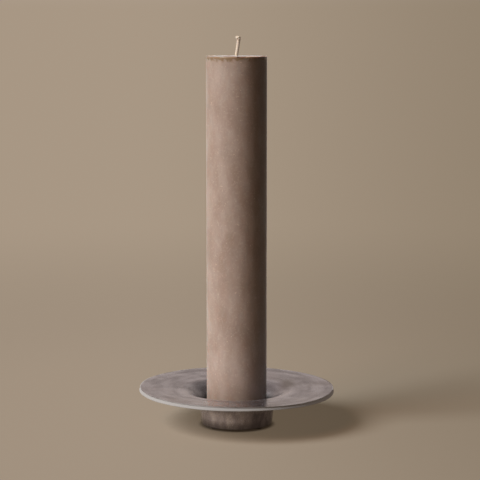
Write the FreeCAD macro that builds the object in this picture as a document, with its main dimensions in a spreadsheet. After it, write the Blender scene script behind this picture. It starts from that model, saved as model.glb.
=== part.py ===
"""Pillar candle holder: a cast aluminium plate with a well, and the pillar candle that stands in it.

The holder is one sand casting: a wide, thin, slightly dished brim that curves like a trumpet into a
round well with a solid foot.  Four self-adhesive felt pads keep it off the table.  A tall pillar
candle with a braided cotton wick stands loose in the well and lifts straight out.

Millimetres, +Z up.  The origin is on the table, on the axis of the foot.
"""
import FreeCAD, Part
import math
import os

import Sketcher

PARTS_FOLDER = "parts"
SHEET = "Sizes"
PAD_COUNT = 4
FULL_TURN = 360
NEAR = 0.01  # mm, for finding an edge by its place
GUESS = 2  # mm, a start value for the sketch solver, before the sheet sets the real size
UP = FreeCAD.Vector(0, 0, 1)

# Driving dimensions: alias, value in mm or degrees, what it is.
SIZES = (
    ("pad_thickness", 1.5, "felt pad, and so the gap under the casting"),
    ("pad_radius", 6.0, "felt pad"),
    ("pad_circle_radius", 27.0, "axis of the foot to the centre of each pad"),
    ("foot_radius", 35.5, "outside of the foot at its lower edge"),
    ("foot_draft", 5.5, "the foot widens upwards by this angle"),
    ("foot_rounding", 1.2, "lower edge of the foot"),
    ("recess_radius", 19.5, "shallow recess under the foot"),
    ("recess_depth", 3.5, "shallow recess under the foot"),
    ("rim_radius", 97.5, "outside of the brim"),
    ("rim_height", 38.5, "top of the rim above the table"),
    ("brim_thickness", 3.6, "upright thickness of the brim at the rim"),
    ("brim_slope", 3.5, "the brim falls towards the well by this angle"),
    ("rim_rounding", 0.8, "both edges of the rim"),
    ("well_radius", 31.0, "well at its floor"),
    ("well_floor", 9.0, "floor of the well above the table"),
    ("well_draft", 4.0, "the well widens upwards by this angle"),
    ("mouth_rounding", 28.0, "trumpet curve from the brim into the well"),
    ("underside_rounding", 24.0, "trumpet curve from the foot to the underside of the brim"),
    ("floor_rounding", 0.8, "corner between the floor and the wall of the well"),
    ("candle_radius", 30.0, "pillar candle"),
    ("candle_length", 360.0, "pillar candle, without its wick"),
    ("candle_edge_rounding", 1.2, "upper edge of the candle"),
    ("candle_base_chamfer", 1.0, "lower edge of the candle"),
    ("dish_radius", 22.0, "shallow dish around the wick"),
    ("dish_depth", 1.2, "shallow dish around the wick"),
    ("wick_radius", 1.65, "wick, and its hole through the wax"),
    ("wick_stand_out", 20.6, "wick above the bottom of the dish, along its curve"),
    ("wick_bend_radius", 95.0, "gentle lean of the free end towards +X"),
)


def make_sheet(doc):
    """The spreadsheet that holds every driving dimension under an alias."""
    sheet = doc.addObject("Spreadsheet::Sheet", SHEET)
    for row, (alias, value, meaning) in enumerate(SIZES, start=1):
        sheet.set(f"A{row}", alias)
        sheet.set(f"B{row}", str(value))
        sheet.set(f"C{row}", meaning)
        sheet.setAlias(f"B{row}", alias)
    doc.recompute()
    return sheet


def size(name):
    """The expression that reads one driving dimension."""
    return f"{SHEET}.{name}"


def add_body(doc, label):
    body = doc.addObject("PartDesign::Body", label)
    body.Label = label
    return body


def add_sketch(body, name, role):
    """A sketch on one of the body's own origin planes, found by its role."""
    sketch = body.newObject("Sketcher::SketchObject", name)
    plane = next(item for item in body.Origin.OriginFeatures if item.Role == role)
    sketch.AttachmentSupport = [(plane, "")]
    sketch.MapMode = "FlatFace"
    return sketch


class Outline:
    """A closed sketch of straight sides between named corners."""

    ORIGIN = (-1, 1)
    LEVEL_AXIS = -1
    UPRIGHT_AXIS = -2

    def __init__(self, sketch, corners, sides):
        self.sketch = sketch
        self.side = {}
        self.corner = {}
        for name, start, end in sides:
            first = FreeCAD.Vector(*corners[start], 0)
            last = FreeCAD.Vector(*corners[end], 0)
            index = sketch.addGeometry(Part.LineSegment(first, last))
            self.side[name] = index
            for corner, position in ((start, 1), (end, 2)):
                if corner in self.corner:
                    self.add("Coincident", *self.corner[corner], index, position)
                else:
                    self.corner[corner] = (index, position)

    def add(self, kind, *values):
        return self.sketch.addConstraint(Sketcher.Constraint(kind, *values))

    def bind(self, index, label, expression):
        """Name a dimension and tie it to the sheet."""
        self.sketch.renameConstraint(index, label)
        self.sketch.setExpression(f"Constraints.{label}", expression)

    def level(self, *names):
        for name in names:
            self.add("Horizontal", self.side[name])

    def upright(self, *names):
        for name in names:
            self.add("Vertical", self.side[name])

    def on_axis(self, *corners):
        for corner in corners:
            self.add("PointOnObject", *self.corner[corner], self.UPRIGHT_AXIS)

    def point(self, corner):
        return self.sketch.getPoint(*self.corner[corner])

    def radius(self, corner, label, expression):
        """Distance of a corner from the axis of revolution."""
        index = self.add("DistanceX", *self.ORIGIN, *self.corner[corner], self.point(corner).x)
        self.bind(index, label, expression)

    def height(self, corner, label, expression, above=None):
        """Height of a corner above another corner, or above the origin."""
        base = self.corner[above] if above else self.ORIGIN
        base_height = self.point(above).y if above else 0
        index = self.add("DistanceY", *base, *self.corner[corner], self.point(corner).y - base_height)
        self.bind(index, label, expression)

    def slant(self, name, label, expression):
        """Angle of a side from level, seen from its first corner."""
        line = self.sketch.Geometry[self.side[name]]
        run = line.EndPoint - line.StartPoint
        index = self.add("Angle", self.side[name], math.atan2(run.y, run.x))
        self.bind(index, label, expression)


def add_centred_circle(sketch, label, expression):
    """A circle about the sketch's origin, its radius tied to the sheet."""
    centre = FreeCAD.Vector(0, 0, 0)
    index = sketch.addGeometry(Part.Circle(centre, UP, GUESS))
    sketch.addConstraint(Sketcher.Constraint("Coincident", index, 3, *Outline.ORIGIN))
    dimension = sketch.addConstraint(Sketcher.Constraint("Radius", index, GUESS))
    sketch.renameConstraint(dimension, label)
    sketch.setExpression(f"Constraints.{label}", expression)


def revolve(body, sketch, name):
    turned = body.newObject("PartDesign::Revolution", name)
    turned.Profile = sketch
    turned.ReferenceAxis = (sketch, ["V_Axis"])
    turned.Angle = FULL_TURN
    sketch.Visibility = False
    body.Document.recompute()
    return turned


def circle_edge(feature, corner):
    """Name of the round edge that an outline's corner makes when it is revolved."""
    for index, edge in enumerate(feature.Shape.Edges, start=1):
        curve = edge.Curve
        if not isinstance(curve, Part.Circle):
            continue
        if abs(curve.Radius - corner.x) < NEAR and abs(curve.Center.z - corner.y) < NEAR:
            return f"Edge{index}"
    raise RuntimeError(f"no round edge at radius {corner.x:.2f}, height {corner.y:.2f}")


def round_edges(body, base, name, corners, alias):
    """A fillet on the round edges at the given corners."""
    fillet = body.newObject("PartDesign::Fillet", name)
    fillet.Base = (base, [circle_edge(base, corner) for corner in corners])
    fillet.setExpression("Radius", size(alias))
    body.Document.recompute()
    return fillet


def make_plate_casting(doc, sheet):
    """Brim, trumpet, well and foot: one solid of revolution with rounded corners."""
    body = add_body(doc, "plate_casting")
    sketch = add_sketch(body, "CastingOutline", "XZ_Plane")
    slope = math.tan(math.radians(sheet.brim_slope))
    recess_roof = sheet.pad_thickness + sheet.recess_depth
    brim_fall = (sheet.rim_radius - sheet.foot_radius) * slope
    rim_lower = sheet.rim_height - sheet.brim_thickness
    corners = {
        "recess_centre": (0, recess_roof),
        "recess_corner": (sheet.recess_radius, recess_roof),
        "recess_edge": (sheet.recess_radius, sheet.pad_thickness),
        "foot_edge": (sheet.foot_radius, sheet.pad_thickness),
        "under_corner": (sheet.foot_radius + GUESS, rim_lower - brim_fall),
        "rim_lower": (sheet.rim_radius, rim_lower),
        "rim_upper": (sheet.rim_radius, sheet.rim_height),
        "mouth_corner": (sheet.well_radius + GUESS, sheet.rim_height - brim_fall),
        "floor_corner": (sheet.well_radius, sheet.well_floor),
        "floor_centre": (0, sheet.well_floor),
    }
    outline = Outline(sketch, corners, (
        ("recess_roof", "recess_centre", "recess_corner"),
        ("recess_wall", "recess_edge", "recess_corner"),
        ("foot_base", "recess_edge", "foot_edge"),
        ("foot_wall", "foot_edge", "under_corner"),
        ("brim_underside", "under_corner", "rim_lower"),
        ("rim", "rim_lower", "rim_upper"),
        ("brim_top", "mouth_corner", "rim_upper"),
        ("well_wall", "floor_corner", "mouth_corner"),
        ("floor", "floor_centre", "floor_corner"),
        ("core", "recess_centre", "floor_centre"),
    ))
    outline.on_axis("recess_centre", "floor_centre")
    outline.level("recess_roof", "foot_base", "floor")
    outline.upright("recess_wall", "rim")
    outline.height("foot_edge", "base", size("pad_thickness"))
    outline.height("recess_corner", "recess", size("recess_depth"), above="recess_edge")
    outline.height("floor_corner", "floor_level", size("well_floor"))
    outline.height("rim_upper", "rim_level", size("rim_height"))
    outline.height("rim_upper", "thickness", size("brim_thickness"), above="rim_lower")
    outline.radius("recess_edge", "recess_width", size("recess_radius"))
    outline.radius("foot_edge", "foot_width", size("foot_radius"))
    outline.radius("floor_corner", "well_width", size("well_radius"))
    outline.radius("rim_upper", "rim_width", size("rim_radius"))
    outline.slant("foot_wall", "foot_lean", f"90 deg - {size('foot_draft')} * 1 deg")
    outline.slant("well_wall", "well_lean", f"90 deg - {size('well_draft')} * 1 deg")
    outline.slant("brim_top", "brim_fall", f"{size('brim_slope')} * 1 deg")
    outline.add("Parallel", outline.side["brim_top"], outline.side["brim_underside"])
    doc.recompute()

    solid = revolve(body, sketch, "Casting")
    solid = round_edges(body, solid, "UndersideCurve", [outline.point("under_corner")], "underside_rounding")
    solid = round_edges(body, solid, "MouthCurve", [outline.point("mouth_corner")], "mouth_rounding")
    solid = round_edges(body, solid, "WellFloorCorner", [outline.point("floor_corner")], "floor_rounding")
    rim_corners = [outline.point("rim_lower"), outline.point("rim_upper")]
    solid = round_edges(body, solid, "RimEdges", rim_corners, "rim_rounding")
    solid = round_edges(body, solid, "FootEdge", [outline.point("foot_edge")], "foot_rounding")
    body.Tip = solid
    return body


def make_felt_pad(doc, number):
    """One self-adhesive felt dot, on the ring of the foot."""
    body = add_body(doc, f"felt_pad_{number}")
    sketch = add_sketch(body, f"PadOutline{number}", "XY_Plane")
    add_centred_circle(sketch, "pad_width", size("pad_radius"))
    pad = body.newObject("PartDesign::Pad", f"Pad{number}")
    pad.Profile = sketch
    pad.setExpression("Length", size("pad_thickness"))
    sketch.Visibility = False
    angle = FULL_TURN / PAD_COUNT * (number - 0.5)
    body.setExpression("Placement.Base.x", f"{size('pad_circle_radius')} * cos({angle} deg)")
    body.setExpression("Placement.Base.y", f"{size('pad_circle_radius')} * sin({angle} deg)")
    return body


def stand_on_well_floor(body):
    """The candle and its wick are drawn from z = 0 and stand on the floor of the well."""
    body.setExpression("Placement.Base.z", size("well_floor"))


def make_candle_wax(doc, sheet):
    """The pillar: a tall cylinder of wax with a shallow dish on top and a hole for the wick."""
    body = add_body(doc, "candle_wax")
    sketch = add_sketch(body, "WaxOutline", "XZ_Plane")
    top = sheet.candle_length
    corners = {
        "bore_lower": (sheet.wick_radius, 0),
        "base_edge": (sheet.candle_radius, 0),
        "top_edge": (sheet.candle_radius, top),
        "dish_edge": (sheet.dish_radius, top),
        "bore_upper": (sheet.wick_radius, top - sheet.dish_depth),
    }
    outline = Outline(sketch, corners, (
        ("base", "bore_lower", "base_edge"),
        ("flank", "base_edge", "top_edge"),
        ("top", "dish_edge", "top_edge"),
        ("dish", "bore_upper", "dish_edge"),
        ("bore", "bore_lower", "bore_upper"),
    ))
    outline.level("base", "top")
    outline.upright("flank", "bore")
    outline.add("PointOnObject", *outline.corner["bore_lower"], Outline.LEVEL_AXIS)
    outline.radius("bore_lower", "bore_width", size("wick_radius"))
    outline.radius("base_edge", "candle_width", size("candle_radius"))
    outline.radius("dish_edge", "dish_width", size("dish_radius"))
    outline.height("top_edge", "candle_height", size("candle_length"))
    outline.height("dish_edge", "dish_drop", size("dish_depth"), above="bore_upper")
    doc.recompute()

    solid = revolve(body, sketch, "Pillar")
    solid = round_edges(body, solid, "TopEdge", [outline.point("top_edge")], "candle_edge_rounding")
    chamfer = body.newObject("PartDesign::Chamfer", "BaseEdge")
    chamfer.Base = (solid, [circle_edge(solid, outline.point("base_edge"))])
    chamfer.setExpression("Size", size("candle_base_chamfer"))
    body.Tip = chamfer
    stand_on_well_floor(body)
    return body


def make_wick(doc, sheet):
    """The wick: straight through the wax, then leaning gently towards +X."""
    body = add_body(doc, "wick")
    route = add_sketch(body, "WickRoute", "XZ_Plane")
    straight = sheet.candle_length - sheet.dish_depth
    bend = sheet.wick_bend_radius
    turn = sheet.wick_stand_out / bend
    foot = FreeCAD.Vector(0, 0, 0)
    knee = FreeCAD.Vector(0, straight, 0)
    centre = FreeCAD.Vector(bend, straight, 0)
    line = route.addGeometry(Part.LineSegment(foot, knee))
    circle = Part.Circle(centre, UP, bend)
    arc = route.addGeometry(Part.ArcOfCircle(circle, math.pi - turn, math.pi))
    origin = Outline.ORIGIN
    route.addConstraint(Sketcher.Constraint("Coincident", line, 1, *origin))
    route.addConstraint(Sketcher.Constraint("Vertical", line))
    route.addConstraint(Sketcher.Constraint("Tangent", line, 2, arc, 2))
    dimensions = (
        ("straight_run", Sketcher.Constraint("DistanceY", *origin, line, 2, straight),
         f"{size('candle_length')} - {size('dish_depth')}"),
        ("bend_radius", Sketcher.Constraint("Radius", arc, bend), size("wick_bend_radius")),
        ("tip_rise", Sketcher.Constraint("DistanceY", line, 2, arc, 1, bend * math.sin(turn)),
         f"{size('wick_bend_radius')} * sin({size('wick_stand_out')} / {size('wick_bend_radius')} * 1 rad)"),
    )
    for label, constraint, expression in dimensions:
        route.renameConstraint(route.addConstraint(constraint), label)
        route.setExpression(f"Constraints.{label}", expression)
    section = add_sketch(body, "WickSection", "XY_Plane")
    add_centred_circle(section, "wick_width", size("wick_radius"))
    doc.recompute()
    pipe = body.newObject("PartDesign::AdditivePipe", "WickPipe")
    pipe.Profile = section
    pipe.Spine = (route, [])
    for sketch in (route, section):
        sketch.Visibility = False
    stand_on_well_floor(body)
    return body


def check_document(doc, bodies):
    """Stop before anything is written if an object failed or a solid is not whole."""
    for item in doc.Objects:
        if "Invalid" in item.State or "Error" in item.State:
            raise RuntimeError(f"{item.Label} did not recompute: {item.State}")
    for body in bodies:
        shape = body.Shape
        if shape.isNull() or not shape.isValid() or len(shape.Solids) != 1:
            raise RuntimeError(f"{body.Label} is not one valid solid")


def main():
    doc = FreeCAD.newDocument("PillarCandleHolder")
    sheet = make_sheet(doc)
    bodies = [make_plate_casting(doc, sheet)]
    bodies += [make_felt_pad(doc, number) for number in range(1, PAD_COUNT + 1)]
    bodies += [make_candle_wax(doc, sheet), make_wick(doc, sheet)]
    doc.recompute()
    check_document(doc, bodies)
    os.makedirs(PARTS_FOLDER, exist_ok=True)
    for body in bodies:
        body.Shape.exportStep(f"{PARTS_FOLDER}/{body.Label}.step")
        box = body.Shape.BoundBox
        print(f"{body.Label}: {body.Shape.Volume / 1000:.2f} cm3, z {box.ZMin:.2f} to {box.ZMax:.2f}")


main()
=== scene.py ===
"""Looks of the pillar candle holder: raw cast plate, rustic pillar candle, braided wick, felt dots.

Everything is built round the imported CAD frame, in metres and in the frame's own coordinates.
"""

import math

import bpy
import numpy as np
from mathutils import Matrix, Vector, noise


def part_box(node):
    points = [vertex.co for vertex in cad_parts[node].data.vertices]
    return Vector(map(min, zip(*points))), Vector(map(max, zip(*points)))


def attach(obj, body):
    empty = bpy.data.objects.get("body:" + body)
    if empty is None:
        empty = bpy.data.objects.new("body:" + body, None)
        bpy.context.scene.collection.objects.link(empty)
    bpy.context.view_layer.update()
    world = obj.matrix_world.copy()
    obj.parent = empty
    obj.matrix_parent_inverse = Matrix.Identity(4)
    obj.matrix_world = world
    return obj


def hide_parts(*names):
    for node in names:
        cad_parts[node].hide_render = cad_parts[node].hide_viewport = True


MM = 0.001
FULL_TURN = 2 * math.pi

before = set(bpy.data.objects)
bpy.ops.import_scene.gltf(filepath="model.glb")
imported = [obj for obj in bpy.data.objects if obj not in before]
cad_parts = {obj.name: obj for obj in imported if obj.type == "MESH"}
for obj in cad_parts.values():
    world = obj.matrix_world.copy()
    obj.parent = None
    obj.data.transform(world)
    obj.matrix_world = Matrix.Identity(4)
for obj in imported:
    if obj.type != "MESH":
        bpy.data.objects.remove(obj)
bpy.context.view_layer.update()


# ---------------------------------------------------------------- sizes

PLATE_LOW, PLATE_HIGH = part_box("plate_casting")
WAX_LOW, WAX_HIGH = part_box("candle_wax")

RIM_RADIUS = (PLATE_HIGH.x - PLATE_LOW.x) / 2
RIM_TOP = PLATE_HIGH.z
FOOT_BASE = PLATE_LOW.z
CANDLE_RADIUS = (WAX_HIGH.x - WAX_LOW.x) / 2
WELL_FLOOR = WAX_LOW.z
CANDLE_TOP = WAX_HIGH.z

# the casting
BRIM_THICKNESS = 3.6 * MM
BRIM_SLOPE = math.tan(math.radians(3.5))
BRIM_DROOP = math.tan(math.radians(0.48))
BRIM_SAG = 0.6 * MM
FOOT_RADIUS = 35.5 * MM
FOOT_DRAFT = math.tan(math.radians(5.5))
WELL_RADIUS = 31 * MM
WELL_DRAFT = math.tan(math.radians(4))
RECESS_RADIUS = 19.5 * MM
RECESS_DEPTH = 3.5 * MM
MOUTH_ROUNDING = 28 * MM
UNDERSIDE_ROUNDING = 24 * MM
# where the painted shadow spot lies on the brim
SPOT_SHADOW_PLACE = (52 * MM, 24 * MM, 0)

# the candle
DISH_RADIUS = 22 * MM
DISH_DEPTH = 1.2 * MM
CANDLE_LEAN = math.tan(math.radians(0.07))
TOP_TILT = -math.tan(math.radians(0.7))
WAX_DEPTH = 4 * MM

# the wick: straight inside the wax, bent where it stands free
WICK_RADIUS = 1.65 * MM
WICK_BEND = 95 * MM
WICK_KINK = 0.8 * MM
WICK_STRAIGHT = CANDLE_TOP - DISH_DEPTH - WELL_FLOOR
WICK_LENGTH = WICK_STRAIGHT + 19.9 * MM
STRANDS = 8
STRAND_PITCH = 9 * MM
STRAND_RING = 1.08 * MM
STRAND_WIDTH, STRAND_THICKNESS = 0.60 * MM, 0.40 * MM
CORE_RADIUS = 1.0 * MM


# ---------------------------------------------------------------- colours and light

METAL_DARK, METAL_LIGHT = (0.33, 0.305, 0.325), (0.55, 0.53, 0.57)
METAL_PATCH, METAL_PIT = (0.37, 0.325, 0.325), (0.22, 0.20, 0.20)
# a painted highlight on the front of the mouth, and a painted shadow spot on the right of the brim
LIP_HIGHLIGHT, SPOT_SHADOW = (0.74, 0.70, 0.74), (0.175, 0.145, 0.135)
METAL_RIM = (0.42, 0.395, 0.385)
METAL_ROUGH, METAL_DULLEST = 0.24, 0.92
# painted shade: dark in the gap round the candle, deep in the well, and at the bottom of the foot
GAP_SHADE, WELL_SHADE, FOOT_BASE_SHADE = (0.03, 0.025, 0.022), (0.008, 0.007, 0.006), (0.12, 0.105, 0.115)
# the foot's burnished and tarnished drips, each with painted light on the left and painted shade on the
# right
BURNISHED_LIT, BURNISHED_SHADED = (0.92, 0.90, 1.0), (0.37, 0.34, 0.40)
TARNISHED_LIT, TARNISHED_SHADED = (0.62, 0.59, 0.68), (0.20, 0.18, 0.21)

WAX_DARK, WAX_LIGHT = (0.220, 0.163, 0.134), (0.280, 0.224, 0.193)
WAX_DRIFT, WAX_CRYSTAL, WAX_FLECK = (0.218, 0.160, 0.127), (0.350, 0.295, 0.255), (0.50, 0.42, 0.36)
# the golden melted edge; painted shade low down; the top face painted darker and greyer, standing for the
# backdrop's reflection
WAX_MELTED, WAX_LOW_SHADE, WAX_TOP_SHADE = (0.170, 0.115, 0.066), (0.05, 0.022, 0.004), (0.150, 0.130, 0.128)

COTTON_DARK, COTTON_LIGHT, COTTON_WAXED = (0.44, 0.37, 0.30), (0.67, 0.59, 0.50), (0.50, 0.40, 0.28)
FELT_DARK, FELT_LIGHT = (0.018, 0.016, 0.015), (0.075, 0.068, 0.062)

# painted light: the paper is lighter on the left, as the lamps' falloff would make it
PAPER_LEFT, PAPER_RIGHT = (0.356, 0.282, 0.211), (0.258, 0.203, 0.145)
WALL_LEFT, WALL_RIGHT = (0.53, 0.45, 0.41), (0.40, 0.345, 0.31)
CEILING_LEFT, CEILING_RIGHT = (0.43, 0.375, 0.345), (0.20, 0.175, 0.16)
ZENITH, WINDOW = (0.66, 0.62, 0.60), (1.1, 1.05, 1.0)
STUDIO_RADIUS = 6

# how much of its brightness the paper keeps in shadow, close under the foot, and far out
SHADOW_LIGHT, CONTACT_LIGHT, FULL_LIGHT = (0.365, 0.345, 0.310), (0.07, 0.06, 0.05), (1.0, 1.0, 1.0)

LAMP_HEIGHT = 39
KEY_STRENGTH, KEY_COLOUR = 5.35, (0.975, 1.01, 1.01)
BOUNCE_STRENGTH, BOUNCE_COLOUR = 1.75, (1.0, 0.63, 0.43)
BACK_STRENGTH, BACK_COLOUR = 0.04, (1.0, 0.55, 0.90)
FILL_STRENGTH, FILL_COLOUR = 2.4, (1.0, 0.94, 0.90)
AIR_STRENGTH, AIR_COLOUR = 0.01, (0.95, 0.93, 0.92, 1)
LAMP_SLANT = math.sin(math.radians(LAMP_HEIGHT))
FLOOR_LIGHT = [LAMP_SLANT * (KEY_STRENGTH * key + BOUNCE_STRENGTH * bounce) / math.pi
               for key, bounce in zip(KEY_COLOUR, BOUNCE_COLOUR)]

# a pitch of 90 degrees looks level
CAMERA_PLACE = (0.0036, -1.8116, 0.4295)
CAMERA_PITCH = math.radians(90 - 7.64)
CAMERA_ROLL = math.radians(-0.09)
CAMERA_LENS = 138


# ---------------------------------------------------------------- outlines and meshes

def meet(radius_a, height_a, slope_a, radius_b, height_b, lean_b):
    """Corner where a nearly level line and a nearly upright one meet.

    The first line's slope is height per radius, and the second line's lean is radius per height.
    """
    height = height_a + slope_a * (radius_b - radius_a - lean_b * height_b)
    height = height / (1 - slope_a * lean_b)
    return radius_b + lean_b * (height - height_b), height


def tangent_arc(before, corner, after, rounding, spacing):
    """Arc of the given radius that touches both sides of a corner."""
    inward = (before - corner) / np.linalg.norm(before - corner)
    outward = (after - corner) / np.linalg.norm(after - corner)
    half = math.acos(np.clip(inward @ outward, -1, 1)) / 2
    bisector = (inward + outward) / np.linalg.norm(inward + outward)
    centre = corner + bisector * rounding / math.sin(half)
    start = corner + inward * rounding / math.tan(half) - centre
    turn = math.pi - 2 * half
    if start[0] * outward[1] - start[1] * outward[0] < 0:
        turn = -turn
    count = max(4, int(math.ceil(abs(turn) * rounding / spacing)))
    arc = []
    for step in range(count + 1):
        angle = turn * step / count
        cosine, sine = math.cos(angle), math.sin(angle)
        spoke = (start[0] * cosine - start[1] * sine, start[0] * sine + start[1] * cosine)
        arc.append(centre + np.array(spoke))
    return arc


def rounded_outline(corners, spacing):
    """Points along straight sides between (radius, height, rounding) corners, with tangent arcs."""
    places = [np.array(corner[:2]) for corner in corners]
    points = []
    for index, here in enumerate(places):
        rounding = corners[index][2]
        if rounding == 0:
            arc = [here]
        else:
            arc = tangent_arc(places[index - 1], here, places[index + 1], rounding, spacing)
        if points:
            start = points[-1]
            count = max(1, int(round(np.linalg.norm(arc[0] - start) / spacing)))
            points += [start + (arc[0] - start) * step / count for step in range(1, count)]
        points += arc
    return np.array(points)


def outline_normals(outline):
    """Outward normals of an outline that runs with the solid on its left."""
    ahead = np.gradient(outline, axis=0)
    normals = np.stack((ahead[:, 1], -ahead[:, 0]), axis=1)
    return normals / np.linalg.norm(normals, axis=1)[:, None]


def circle(steps):
    """Points of a unit circle, as (x, y) rows."""
    angles = np.arange(steps) * FULL_TURN / steps
    return np.stack((np.cos(angles), np.sin(angles)), axis=1)


def make_object(name, points, faces):
    """A smooth-shaded mesh object in the scene."""
    mesh = bpy.data.meshes.new(name)
    mesh.from_pydata(points.tolist(), [], faces)
    mesh.validate()
    mesh.polygons.foreach_set("use_smooth", [True] * len(mesh.polygons))
    piece = bpy.data.objects.new(name, mesh)
    bpy.context.scene.collection.objects.link(piece)
    return piece


def ring_faces(rings, steps, closed):
    """Quads between neighbouring rings of points; closed joins the last ring to the first."""
    faces = []
    for ring in range(rings if closed else rings - 1):
        here = ring * steps
        there = (ring + 1) % rings * steps
        for step in range(steps):
            following = (step + 1) % steps
            faces.append((here + step, here + following, there + following, there + step))
    return faces


def swept(profile, across):
    """One ring of points for each (radius, height) of a profile."""
    points = np.empty((len(profile), len(across), 3))
    points[:, :, :2] = profile[:, 0, None, None] * across
    points[:, :, 2] = profile[:, 1, None]
    return points.reshape(-1, 3)


def lathe(name, outline, steps, relief):
    """A solid of revolution.

    An outline that starts and ends on the axis gets poles, and any other closes on itself.
    relief(points, normals) moves every point, so that nothing stays perfectly round.
    """
    poled = outline[0, 0] == 0
    body = slice(1, -1) if poled else slice(None)
    normals = outline_normals(outline)
    across = circle(steps)
    points = swept(outline[body], across)
    facing = swept(normals[body], across)
    rings = len(outline[body])
    faces = ring_faces(rings, steps, closed=not poled)
    if poled:
        first, last = len(points), len(points) + 1
        points = np.vstack((points, [(0, 0, outline[0, 1]), (0, 0, outline[-1, 1])]))
        facing = np.vstack((facing, [(0, 0, normals[0, 1]), (0, 0, normals[-1, 1])]))
        final_ring = (rings - 1) * steps
        for step in range(steps):
            following = (step + 1) % steps
            faces.append((first, following, step))
            faces.append((last, final_ring + step, final_ring + following))
    return make_object(name, relief(points, facing), faces)


def rough(points, wavelength, seed, octaves=1):
    """Smooth random values of about -1 to 1 at each point."""
    shift = Vector((seed * 17.3, seed * -9.1, seed * 5.7))
    values = np.zeros(len(points))
    weight, scale = 1.0, 1 / wavelength
    for _ in range(octaves):
        values += weight * np.array([noise.noise(Vector(point) * scale + shift) for point in points])
        weight *= 0.5
        scale *= 2
    return values


def ease(values, start, end):
    """0 before start, 1 after end, smooth between."""
    share = np.clip((values - start) / (end - start), 0, 1)
    return share * share * (3 - 2 * share)


def distance_from_axis(points):
    """How far each point is from the upright axis through the origin."""
    return np.hypot(points[:, 0], points[:, 1])


# ---------------------------------------------------------------- materials

class Surface:
    """A procedural material in the making: most methods add nodes and return the socket to go on from."""

    def __init__(self, name):
        self.material = bpy.data.materials.new(name)
        self.material.use_nodes = True
        self.tree = self.material.node_tree
        self.tree.nodes.clear()
        output = self.node("ShaderNodeOutputMaterial")
        self.shader = self.node("ShaderNodeBsdfPrincipled")
        self.put(output.inputs["Surface"], self.shader.outputs[0])
        self.place = self.node("ShaderNodeTexCoord").outputs["Object"]

    def node(self, kind, inputs=None, **settings):
        made = self.tree.nodes.new(kind)
        for name, value in settings.items():
            setattr(made, name, value)
        for name, value in (inputs or {}).items():
            self.put(made.inputs[name], value)
        return made

    def put(self, socket, value):
        """Link an output to a socket, or set the socket's own value."""
        if isinstance(value, bpy.types.NodeSocket):
            self.tree.links.new(value, socket)
        else:
            socket.default_value = value

    def shade(self, values):
        """Set or link the shader's own sockets, and hand the material over."""
        for name, value in values.items():
            self.put(self.shader.inputs[name], value)
        return self.material

    def parts(self, vector):
        """The x, y and z of a vector."""
        return self.node("ShaderNodeSeparateXYZ", {"Vector": vector}).outputs[:3]

    def level(self):
        """1 where the surface faces up, 0 where it is upright and -1 where it faces down."""
        return self.parts(self.node("ShaderNodeNewGeometry").outputs["Normal"])[2]

    def stretched(self, vector, scale):
        return self.node("ShaderNodeMapping", {"Vector": vector, "Scale": scale}).outputs["Vector"]

    def noise(self, vector, scale, detail, roughness):
        """Noise of about 0 to 1."""
        values = {"Vector": vector, "Scale": scale, "Detail": detail, "Roughness": roughness}
        return self.node("ShaderNodeTexNoise", values).outputs["Fac"]

    def calculate(self, operation, *values):
        return self.node("ShaderNodeMath", dict(enumerate(values)), operation=operation).outputs[0]

    def product(self, first, second):
        return self.calculate("MULTIPLY", first, second)

    def total(self, first, second):
        return self.calculate("ADD", first, second)

    def each(self, operation, first, second):
        """The same operation on each of the three parts of two vectors or colours."""
        made = self.node("ShaderNodeVectorMath", {0: first, 1: second}, operation=operation)
        return made.outputs["Vector"]

    def ramp(self, value, low, high, low_out=0.0, high_out=1.0):
        """Change from low_out to high_out while value goes from low to high, smooth at both ends."""
        limits = {"Value": value, "From Min": low, "From Max": high, "To Min": low_out, "To Max": high_out}
        return self.node("ShaderNodeMapRange", limits, interpolation_type="SMOOTHSTEP").outputs["Result"]

    def blend(self, share, first, second):
        """The first colour where share is 0 and the second where it is 1."""
        made = self.node("ShaderNodeMix", {0: share}, data_type="RGBA")
        for index, colour in ((6, first), (7, second)):
            linked = isinstance(colour, bpy.types.NodeSocket)
            self.put(made.inputs[index], colour if linked else (*colour, 1))
        return made.outputs[2]

    def layered(self, colour, *layers):
        """A colour with others laid over it, each given as the share that it covers and the colour."""
        for share, over in layers:
            colour = self.blend(share, colour, over)
        return colour

    def bump(self, height, strength, distance, under=None):
        """Relief from a height, on top of the normal of an earlier bump."""
        inputs = {"Height": height, "Strength": strength, "Distance": distance}
        if under is not None:
            inputs["Normal"] = under
        return self.node("ShaderNodeBump", inputs).outputs["Normal"]

    def distance_out(self, vector):
        """Distance from the upright axis through the origin."""
        x, y, _ = self.parts(vector)
        level = self.node("ShaderNodeCombineXYZ", {"X": x, "Y": y}).outputs["Vector"]
        return self.node("ShaderNodeVectorMath", {0: level}, operation="LENGTH").outputs["Value"]

    def streak_place(self, across, around):
        """Coordinates that stretch noise into streaks round the axis, with no seam."""
        x, y, z = self.parts(self.place)
        radius = self.distance_out(self.place)
        cosine = self.calculate("DIVIDE", x, radius)
        sine = self.calculate("DIVIDE", y, radius)
        depth = self.total(self.product(radius, across), self.product(z, across))
        turned = {"X": self.product(cosine, around), "Y": self.product(sine, around), "Z": depth}
        return self.node("ShaderNodeCombineXYZ", turned).outputs["Vector"]


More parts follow.
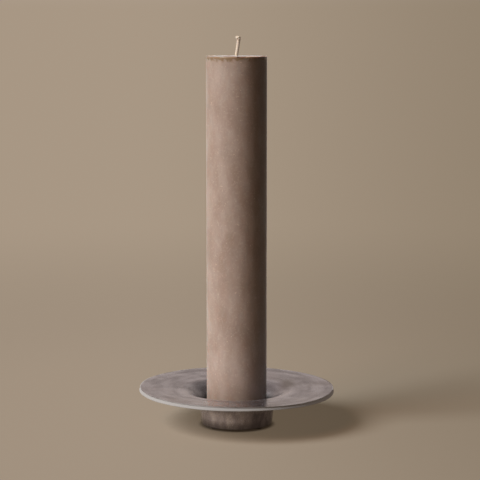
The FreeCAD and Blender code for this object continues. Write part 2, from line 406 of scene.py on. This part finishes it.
def foot_colour_and_light(metal, x):
    """Drips down the foot between burnished and tarnished metal, with painted light on the left and painted
    shade on the right.
    """
    # painted light and shade: lighter on the left, darker on the right
    rightward = metal.ramp(x, -0.3 * FOOT_RADIUS, 0.6 * FOOT_RADIUS)
    drips = metal.noise(metal.stretched(metal.place, (1, 1, 0.35)), scale=150, detail=3, roughness=0.6)
    burnished = metal.blend(rightward, BURNISHED_LIT, BURNISHED_SHADED)
    tarnished = metal.blend(rightward, TARNISHED_LIT, TARNISHED_SHADED)
    return metal.blend(metal.ramp(drips, 0.35, 0.65), tarnished, burnished)


def cast_aluminium():
    """Raw sand-cast aluminium, tumbled: cloudy mauve grey with matt pits and a dull rim.

    A painted highlight lightens a ring on the front of the mouth, painted shade darkens the gap round the
    candle, the deep well and the bottom of the foot, a painted shadow spot lies on the right of the brim,
    and the foot has drips with painted light on its left and painted shade on its right.
    """
    metal = Surface("cast_aluminium")
    x, y, z = metal.parts(metal.place)
    level = metal.level()
    radius = metal.distance_out(metal.place)
    clouds = metal.noise(metal.place, scale=60, detail=3, roughness=0.5)
    patches = metal.noise(metal.place, scale=24, detail=3, roughness=0.5)
    streaks = metal.noise(metal.streak_place(85, 1.4), scale=1, detail=3, roughness=0.55)
    grain = metal.noise(metal.place, scale=1300, detail=4, roughness=0.65)
    pits = metal.noise(metal.place, scale=600, detail=2, roughness=0.5)
    tone = metal.total(metal.product(clouds, 0.4), metal.product(streaks, 0.6))

    upper = metal.ramp(level, -0.03, 0.03)
    edge = metal.ramp(radius, RIM_RADIUS - 3 * MM, RIM_RADIUS - 1.5 * MM)
    rim = metal.product(edge, metal.ramp(level, 0.6, 0.95, 1, 0))
    # painted highlight: a ring on the front of the mouth made lighter
    ring = metal.product(metal.ramp(radius, 44 * MM, 50 * MM), metal.ramp(radius, 55 * MM, 66 * MM, 0.5, 0))
    lip_highlight = metal.product(ring, metal.ramp(y, -15 * MM, 5 * MM, 1, 0))
    # painted shade in the gap round the candle, more on the left, and deep in the well
    gap_shade = metal.product(metal.ramp(radius, CANDLE_RADIUS + 1 * MM, CANDLE_RADIUS + 20 * MM, 0.85, 0),
                         metal.ramp(x, -40 * MM, 40 * MM, 1, 0.6))
    deep = metal.ramp(z, WELL_FLOOR + 13 * MM, WELL_FLOOR + 18.5 * MM, 1, 0)
    # a painted shadow spot on the right of the brim
    from_spot_shadow = metal.stretched(metal.each("SUBTRACT", metal.place, SPOT_SHADOW_PLACE), (1, 0.4, 1))
    spot_shadow = metal.ramp(metal.distance_out(from_spot_shadow), 2 * MM, 12 * MM, 0.95, 0)
    upright = metal.product(metal.ramp(level, -0.7, -0.3), metal.ramp(level, -0.02, 0.02, 1, 0))
    foot = metal.product(upright, metal.ramp(radius, FOOT_RADIUS + 6 * MM, FOOT_RADIUS + 12 * MM, 1, 0))
    # painted shade at the bottom of the foot, near the floor
    foot_base_shade = metal.ramp(z, FOOT_BASE + 1 * MM, FOOT_BASE + 10 * MM, 0.6, 0)
    colour = metal.layered(
        metal.blend(metal.ramp(tone, 0.38, 0.62), METAL_DARK, METAL_LIGHT),
        (metal.ramp(patches, 0.50, 0.70, 0, 0.45), METAL_PATCH),
        (metal.ramp(pits, 0.66, 0.76, 0, 0.4), METAL_PIT),
        (metal.product(lip_highlight, upper), LIP_HIGHLIGHT),
        (metal.product(gap_shade, upper), GAP_SHADE),
        (metal.product(deep, upper), WELL_SHADE),
        (spot_shadow, SPOT_SHADOW),
        (rim, METAL_RIM),
        (foot, foot_colour_and_light(metal, x)),
        (metal.product(foot_base_shade, foot), FOOT_BASE_SHADE),
    )

    gloss = metal.ramp(tone, 0.3, 0.7, METAL_ROUGH + 0.05, METAL_ROUGH - 0.05)
    pitted = metal.calculate("SUBTRACT", metal.ramp(grain, 0.54, 0.64, 0, 0.24), metal.product(foot, 0.14))
    duller = metal.total(metal.total(gloss, pitted), metal.product(rim, 0.75))
    return metal.shade({
        "Base Color": colour,
        "Metallic": 1,
        "Roughness": metal.calculate("MINIMUM", duller, METAL_DULLEST),
        "Normal": metal.bump(pits, 0.06, 0.3 * MM, metal.bump(grain, 0.08, 0.12 * MM)),
    })


def rustic_wax():
    """Through-dyed rustic stearin: taupe, cloudy, with pale crystals and a glossy golden upper edge.

    Painted shade makes the wax darker and browner low down, near the plate, and its top face is painted
    darker and greyer, as the backdrop's reflection across it would make it.
    """
    wax = Surface("rustic_wax")
    z = wax.parts(wax.place)[2]
    level = wax.level()
    clouds = wax.noise(wax.stretched(wax.place, (1, 1, 0.6)), scale=45, detail=4, roughness=0.6)
    drift = wax.noise(wax.stretched(wax.place, (1, 1, 0.3)), scale=150, detail=3, roughness=0.55)
    crystals = wax.noise(wax.place, scale=520, detail=3, roughness=0.6)
    flecks = wax.noise(wax.place, scale=480, detail=1, roughness=0.4)
    edge_noise = wax.noise(wax.place, scale=260, detail=4, roughness=0.65)
    edge_wave = wax.ramp(edge_noise, 0.3, 0.7, -2 * MM, 2 * MM)
    band = wax.ramp(wax.total(z, edge_wave), CANDLE_TOP - 6 * MM, CANDLE_TOP - 1.6 * MM)
    melted = wax.product(band, wax.ramp(level, 0.75, 0.97, 1, 0))
    colour = wax.layered(
        wax.blend(wax.ramp(clouds, 0.32, 0.68), WAX_DARK, WAX_LIGHT),
        (wax.ramp(drift, 0.40, 0.70, 0, 0.55), WAX_DRIFT),
        (wax.ramp(crystals, 0.50, 0.72, 0, 0.35), WAX_CRYSTAL),
        (wax.ramp(flecks, 0.70, 0.78, 0, 0.35), WAX_FLECK),
        (wax.product(melted, 0.9), WAX_MELTED),
        # painted shade low down on the candle
        (wax.ramp(z, 24 * MM, 56 * MM, 0.38, 0), WAX_LOW_SHADE),
        # the top face painted darker and greyer, standing for the backdrop's reflection
        (wax.ramp(level, 0.93, 0.99, 0, 0.55), WAX_TOP_SHADE),
    )
    return wax.shade({
        "Base Color": colour,
        "Roughness": wax.ramp(melted, 0, 1, 0.60, 0.16),
        "Subsurface Weight": 0.6,
        "Subsurface Radius": (1.0, 0.45, 0.33),
        "Subsurface Scale": WAX_DEPTH,
        "IOR": 1.42,
        "Specular IOR Level": 0.35,
        "Sheen Weight": 0.43,
        "Sheen Roughness": 0.35,
        "Normal": wax.bump(drift, 0.12, 0.5 * MM, wax.bump(crystals, 0.10, 0.2 * MM)),
    })


def waxed_cotton():
    """Cream cotton strands soaked in wax."""
    cotton = Surface("waxed_cotton")
    fibres = cotton.noise(cotton.stretched(cotton.place, (1, 1, 0.2)), scale=3500, detail=3, roughness=0.6)
    stains = cotton.noise(cotton.place, scale=260, detail=2, roughness=0.5)
    fibre_colour = cotton.blend(cotton.ramp(fibres, 0.3, 0.7), COTTON_DARK, COTTON_LIGHT)
    return cotton.shade({
        "Base Color": cotton.layered(fibre_colour, (cotton.ramp(stains, 0.5, 0.75, 0, 0.4), COTTON_WAXED)),
        "Roughness": 0.48,
        "Subsurface Weight": 0.25,
        "Subsurface Radius": (1.0, 0.7, 0.4),
        "Subsurface Scale": 0.6 * MM,
        "Normal": cotton.bump(fibres, 0.5, 0.08 * MM),
    })


def dark_felt():
    """Pressed wool felt: matted fibres in dark grey."""
    felt = Surface("dark_felt")
    fibres = felt.noise(felt.stretched(felt.place, (1, 1, 3)), scale=1400, detail=6, roughness=0.75)
    clumps = felt.noise(felt.place, scale=350, detail=3, roughness=0.6)
    tone = felt.total(felt.product(fibres, 0.6), felt.product(clumps, 0.4))
    return felt.shade({
        "Base Color": felt.blend(felt.ramp(tone, 0.35, 0.65), FELT_DARK, FELT_LIGHT),
        "Roughness": 0.95,
        "Sheen Weight": 0.4,
        "Normal": felt.bump(tone, 0.8, 0.25 * MM),
    })


def studio_paper():
    """Plain matt taupe paper, a little lighter on the left, with paler walls, ceiling and window far out.

    Part of its brightness is its own glow, which is what the shadows keep, and the lamps give the
    rest. Further out all of it is glow, so that it looks the same from every side.
    """
    paper = Surface("studio_paper")
    x, _, z = paper.parts(paper.place)
    radius = paper.distance_out(paper.place)
    # the change from left to right is wider further out
    width = paper.calculate("MULTIPLY_ADD", radius, 0.114, 0.206)
    # painted light: lighter on the left, darker on the right
    side = paper.ramp(paper.calculate("DIVIDE", x, width), -0.6, 1.6)
    tone = paper.total(paper.ramp(radius, 0.30, 0.62, 1, 0.97), paper.ramp(radius, 0.62, 1.7, 0, 0.13))
    paper_colour = paper.blend(side, PAPER_LEFT, PAPER_RIGHT)
    toned = paper.node("ShaderNodeVectorMath", {0: paper_colour, "Scale": tone}, operation="SCALE")
    height = paper.calculate("DIVIDE", z, STUDIO_RADIUS)
    leftward = paper.calculate("DIVIDE", x, -STUDIO_RADIUS)
    window = paper.product(paper.ramp(leftward, 0.45, 0.8), paper.ramp(height, 0.10, 0.25))
    colour = paper.layered(
        toned.outputs["Vector"],
        (paper.ramp(height, 0.06, 0.11), paper.blend(side, WALL_LEFT, WALL_RIGHT)),
        (paper.ramp(height, 0.32, 0.62), paper.blend(side, CEILING_LEFT, CEILING_RIGHT)),
        (paper.ramp(height, 0.86, 0.97), ZENITH),
        (window, WINDOW),
    )
    # painted contact shadow: the paper's glow drops close under the foot
    clear_of_foot = paper.ramp(radius, FOOT_RADIUS - 2 * MM, FOOT_RADIUS + 5 * MM)
    glow = paper.blend(clear_of_foot, CONTACT_LIGHT, SHADOW_LIGHT)
    glow = paper.blend(paper.ramp(radius, 0.6, 0.95), glow, FULL_LIGHT)
    matt = paper.each("DIVIDE", paper.each("SUBTRACT", FULL_LIGHT, glow), FLOOR_LIGHT)
    paper.material.cycles.emission_sampling = "NONE"
    return paper.shade({
        "Base Color": paper.each("MULTIPLY", colour, matt),
        "Emission Color": paper.each("MULTIPLY", colour, glow),
        "Emission Strength": 1,
        "Roughness": 1,
        "Specular IOR Level": 0,
    })


# ---------------------------------------------------------------- pieces

def plate_outline():
    """The casting's half section, from the centre of the well floor outwards and back under the foot."""
    under_rim = RIM_TOP - BRIM_THICKNESS
    mouth = meet(RIM_RADIUS, RIM_TOP, BRIM_SLOPE, WELL_RADIUS, WELL_FLOOR, WELL_DRAFT)
    under = meet(RIM_RADIUS, under_rim, BRIM_SLOPE, FOOT_RADIUS, FOOT_BASE, FOOT_DRAFT)
    recess_roof = FOOT_BASE + RECESS_DEPTH
    corners = (
        (0, WELL_FLOOR, 0),
        (WELL_RADIUS, WELL_FLOOR, 0.8 * MM),
        (*mouth, MOUTH_ROUNDING),
        (RIM_RADIUS, RIM_TOP, 0.6 * MM),
        (RIM_RADIUS, under_rim, 0.3 * MM),
        (*under, UNDERSIDE_ROUNDING),
        (FOOT_RADIUS, FOOT_BASE, 1.2 * MM),
        (RECESS_RADIUS, FOOT_BASE, 0.5 * MM),
        (RECESS_RADIUS, recess_roof, 0.8 * MM),
        (0, recess_roof, 0),
    )
    return rounded_outline(corners, 1.1 * MM)


def cast_relief(points, normals):
    """Sand-cast unevenness: waves in the brim, lumps on the foot, a rim that isn't quite true.

    The brim droops towards the right, and its front right part sags a little more.
    """
    height = points[:, 2]
    radius = distance_from_axis(points)
    brim = ease(radius, 40 * MM, 85 * MM)
    rim = ease(radius, RIM_RADIUS - 4 * MM, RIM_RADIUS)
    foot = ease(radius, 30 * MM, 34.5 * MM) * (1 - ease(height, 16 * MM, 30 * MM))
    foot = foot * (height > FOOT_BASE + 0.3 * MM)
    waves = 0.22 * MM * rough(points, 45 * MM, 1) + 0.07 * MM * rough(points, 16 * MM, 2)
    lumps = 0.40 * MM * rough(points * (1, 1, 0.45), 8.5 * MM, 3, 2)
    ragged = 0.12 * MM * rough(points, 22 * MM, 4, 2)
    offset = waves * (0.35 + 0.65 * brim) + lumps * foot + ragged * rim
    offset[height < FOOT_BASE + 0.2 * MM] = 0
    moved = points + normals * offset[:, None]
    moved[:, 2] -= moved[:, 0] * BRIM_DROOP * brim
    rightward = ease(moved[:, 0], 0.2 * RIM_RADIUS, 0.7 * RIM_RADIUS)
    forward = ease(-moved[:, 1], 0, 0.5 * RIM_RADIUS)
    moved[:, 2] -= BRIM_SAG * (rightward * forward) * brim
    return moved


def make_plate():
    plate = lathe("plate", plate_outline(), 400, cast_relief)
    plate.data.materials.append(cast_aluminium())
    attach(plate, "holder")
    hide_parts("plate_casting")
    return plate


def wax_outline():
    """The candle's half section, closed round the hole that the wick fills."""
    bore_top = CANDLE_TOP - DISH_DEPTH + 0.9 * MM
    corners = (
        (WICK_RADIUS, WELL_FLOOR, 0),
        (CANDLE_RADIUS, WELL_FLOOR, 1.4 * MM),
        (CANDLE_RADIUS, CANDLE_TOP, 0.4 * MM),
        (DISH_RADIUS, CANDLE_TOP - 0.25 * MM, 12 * MM),
        (WICK_RADIUS + 1.6 * MM, CANDLE_TOP - DISH_DEPTH, 1.5 * MM),
        (WICK_RADIUS, bore_top, 0),
    )
    depth = bore_top - WELL_FLOOR
    count = int(depth / (4 * MM))
    bore_wall = [(WICK_RADIUS, bore_top - depth * step / count) for step in range(1, count)]
    return np.vstack((rounded_outline(corners, 1.6 * MM), bore_wall))


def wax_relief(points, normals):
    """Hand-poured wax: slight waves and dimples down the side, a soft uneven upper edge.

    The candle leans a hair to the right, and its top is a hair out of level.
    """
    height = points[:, 2]
    outside = ease(distance_from_axis(points), 3 * MM, 8 * MM)
    near_top = ease(height, CANDLE_TOP - 6 * MM, CANDLE_TOP)
    waves = 0.10 * MM * rough(points * (1, 1, 0.5), 40 * MM, 11)
    dimples = 0.07 * MM * rough(points, 9 * MM, 12, 2)
    edge = 0.10 * MM * rough(points, 12 * MM, 13, 2) * near_top
    offset = (waves + dimples + edge) * outside
    offset[height < WELL_FLOOR + 0.1 * MM] = 0
    moved = points + normals * offset[:, None]
    moved[:, 0] += CANDLE_LEAN * (height - WELL_FLOOR)
    moved[:, 2] += TOP_TILT * moved[:, 1] * near_top
    return moved


def make_candle():
    candle = lathe("candle", wax_outline(), 260, wax_relief)
    candle.data.materials.append(rustic_wax())
    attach(candle, "candle")
    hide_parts("candle_wax")
    return candle


def wick_line(rise):
    """Centre of the wick at a height above its bottom, and the direction that it runs in."""
    if rise <= WICK_STRAIGHT:
        return Vector((CANDLE_LEAN * rise, 0, WELL_FLOOR + rise)), Vector((0, 0, 1))
    turn = (rise - WICK_STRAIGHT) / WICK_BEND
    kink = WICK_KINK * ease(rise, WICK_STRAIGHT, WICK_STRAIGHT + 10 * MM)
    centre = Vector((WICK_BEND * (1 - math.cos(turn)) + kink + CANDLE_LEAN * WICK_STRAIGHT, 0,
                     WELL_FLOOR + WICK_STRAIGHT + WICK_BEND * math.sin(turn)))
    return centre, Vector((math.sin(turn), 0, math.cos(turn)))


def wick_axes(ahead):
    """The two directions across the wick, in the plane of its bend and out of it."""
    return Vector((ahead.z, 0, -ahead.x)), Vector((0, 1, 0))


def near_tip(rise, start, end):
    """0 up to start before the tip, 1 from end before the tip on, smooth between."""
    return ease(rise, WICK_LENGTH - start, WICK_LENGTH - end)


def frayed(rise):
    """How far the cut end opens, from 0 to 1: a small round head just below the tip."""
    return near_tip(rise, 3.4 * MM, 2.2 * MM) * (1 - 0.8 * near_tip(rise, 1.7 * MM, 0))


def strand_path(strand):
    """Along a strand: its (centre, wide axis, thick axis) and its two half sizes.

    Odd and even strands wind opposite ways.
    """
    odd = strand % 2
    direction = 1 if odd else -1
    start = FULL_TURN * (strand // 2) / (STRANDS / 2) + (0.25 if odd else 0)
    steps = int(WICK_LENGTH / (0.45 * MM))
    centres, radii = [], []
    for step in range(steps + 1):
        rise = WICK_LENGTH * step / steps
        centre, ahead = wick_line(rise)
        side_axis, other_axis = wick_axes(ahead)
        angle = start + direction * FULL_TURN * rise / STRAND_PITCH
        weave = 0.17 * MM * math.cos(angle * STRANDS / 4 + (math.pi if odd else 0))
        flare = frayed(rise)
        reach = STRAND_RING + weave + 1.0 * MM * flare
        outward = side_axis * math.cos(angle) + other_axis * math.sin(angle)
        shift = side_axis * (-1.1 * MM * near_tip(rise, 4 * MM, 1 * MM))
        centres.append((centre + outward * reach + shift, ahead.cross(outward), outward))
        swell = 1 + 0.35 * flare - 0.3 * near_tip(rise, 0.9 * MM, 0)
        radii.append((STRAND_WIDTH * swell, STRAND_THICKNESS * swell))
    return centres, radii


def core_path():
    """The same for the round core inside the strands."""
    steps = 120
    centres, radii = [], []
    for step in range(steps + 1):
        rise = WICK_LENGTH * step / steps
        centre, ahead = wick_line(rise)
        centres.append((centre, *wick_axes(ahead)))
        radius = CORE_RADIUS + 0.6 * MM * frayed(rise)
        radii.append((radius, radius))
    return centres, radii


def tube(centres, radii, sides):
    """Points and faces of a tube along a path, closed by a cap at each end."""
    points = []
    for (centre, wide_axis, thick_axis), (wide, thick) in zip(centres, radii):
        for side in range(sides):
            angle = FULL_TURN * side / sides
            offset = wide_axis * (wide * math.cos(angle)) + thick_axis * (thick * math.sin(angle))
            points.append(tuple(centre + offset))
    faces = ring_faces(len(radii), sides, closed=False)
    last_ring = (len(radii) - 1) * sides
    faces.append(tuple(reversed(range(sides))))
    faces.append(tuple(range(last_ring, last_ring + sides)))
    return points, faces


def make_wick():
    """Cotton strands braided round a core; the cut end is flared and its fibres stand out."""
    tubes = [tube(*strand_path(strand), 8) for strand in range(STRANDS)]
    tubes.append(tube(*core_path(), 12))
    points, faces = [], []
    for more_points, more_faces in tubes:
        base = len(points)
        points.extend(more_points)
        faces.extend(tuple(base + corner for corner in face) for face in more_faces)
    wick = make_object("wick_braid", np.array(points), faces)
    wick.data.materials.append(waxed_cotton())
    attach(wick, "candle")
    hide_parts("wick")
    return wick


def make_pad(name, felt):
    """One felt dot: slightly pressed, with a soft rounded edge."""
    low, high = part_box(name)
    middle = (low + high) / 2
    radius = (high.x - low.x) / 2
    corners = (
        (0, high.z, 0),
        (radius, high.z, 0.35 * MM),
        (radius, low.z, 0.35 * MM),
        (0, low.z, 0),
    )

    def felt_relief(points, normals):
        side = ease(distance_from_axis(points), radius - 1 * MM, radius)
        offset = 0.12 * MM * rough(points + np.array(middle), 1.6 * MM, 21, 2) * side
        return points + normals * offset[:, None] + np.array((middle.x, middle.y, 0))

    pad = lathe(name + "_felt", rounded_outline(corners, 0.35 * MM), 96, felt_relief)
    pad.data.materials.append(felt)
    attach(pad, "holder")
    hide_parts(name)
    return pad


# ---------------------------------------------------------------- studio

def make_stage():
    """A flat floor under the object and, far out, a dome that only the camera and reflections see."""
    floor_radius, steps = 1.0, 96
    across = np.hstack((circle(steps), np.zeros((steps, 1))))
    edge = across * floor_radius
    fan = [(steps, step, (step + 1) % steps) for step in range(steps)]
    floor = make_object("floor", np.vstack((edge, [(0, 0, 0)])), fan)
    rings = [edge]
    for degrees in range(0, 91, 5):
        lift = math.radians(min(degrees, 89.9))
        rings.append(STUDIO_RADIUS * (across * math.cos(lift) + np.array((0, 0, math.sin(lift)))))
    surround = make_object("surround", np.vstack(rings), ring_faces(len(rings), steps, closed=False))
    surround.visible_diffuse = False
    surround.visible_shadow = False
    paper = studio_paper()
    for sheet in (floor, surround):
        sheet.data.polygons.foreach_set("use_smooth", [False] * len(sheet.data.polygons))
        sheet.data.materials.append(paper)


def direction_from(azimuth, elevation):
    """Unit vector towards a light: azimuth 0 is over the camera, 90 is to the right."""
    turn, lift = math.radians(azimuth), math.radians(elevation)
    return Vector((math.sin(turn) * math.cos(lift), -math.cos(turn) * math.cos(lift), math.sin(lift)))


def soft_light(name, azimuth, elevation, width, strength, colour, glossy=True):
    """A far soft box: width is the angle that it fills, in degrees."""
    light = bpy.data.lights.new(name, "SUN")
    light.angle = math.radians(width)
    light.energy = strength
    light.color = colour
    lamp = bpy.data.objects.new(name, light)
    lamp.rotation_mode = "QUATERNION"
    lamp.rotation_quaternion = direction_from(azimuth, elevation).to_track_quat("Z", "Y")
    lamp.visible_glossy = glossy
    bpy.context.scene.collection.objects.link(lamp)
    return lamp


def make_lights(pieces):
    """Key and bounce, both from the left, make the look.

    A faint back light and a fill from behind keep the far side from being black. The fill lights
    only the object, and leaves the floor and its shadows alone.
    """
    lit_pieces = bpy.data.collections.new("lit_pieces")
    for piece in pieces:
        lit_pieces.objects.link(piece)
    soft_light("key", -64, LAMP_HEIGHT, 30, KEY_STRENGTH, KEY_COLOUR)
    soft_light("bounce", -45, LAMP_HEIGHT, 30, BOUNCE_STRENGTH, BOUNCE_COLOUR, glossy=False)
    soft_light("back", 130, 25, 60, BACK_STRENGTH, BACK_COLOUR)
    fill = soft_light("fill", 178, 6, 40, FILL_STRENGTH, FILL_COLOUR, glossy=False)
    fill.light_linking.receiver_collection = lit_pieces
    world = bpy.data.worlds.new("studio_air")
    world.use_nodes = True
    air = world.node_tree.nodes["Background"]
    air.inputs["Color"].default_value = AIR_COLOUR
    air.inputs["Strength"].default_value = AIR_STRENGTH
    bpy.context.scene.world = world


def make_camera():
    """The view from the front: a little higher than the candle, looking gently down from far away."""
    lens = bpy.data.cameras.new("camera")
    lens.sensor_width = 36
    lens.lens = CAMERA_LENS
    lens.clip_start = 0.05
    lens.clip_end = 100
    camera = bpy.data.objects.new("camera", lens)
    pitch = Matrix.Rotation(CAMERA_PITCH, 4, "X")
    roll = Matrix.Rotation(CAMERA_ROLL, 4, "Z")
    camera.matrix_world = Matrix.Translation(CAMERA_PLACE) @ pitch @ roll
    bpy.context.scene.collection.objects.link(camera)
    bpy.context.scene.camera = camera


bpy.context.scene.view_settings.view_transform = "Standard"
pad_felt = dark_felt()
made_pieces = [make_plate(), make_candle(), make_wick()]
made_pieces += [make_pad(f"felt_pad_{number}", pad_felt) for number in range(1, 5)]
make_stage()
make_lights(made_pieces)
make_camera()
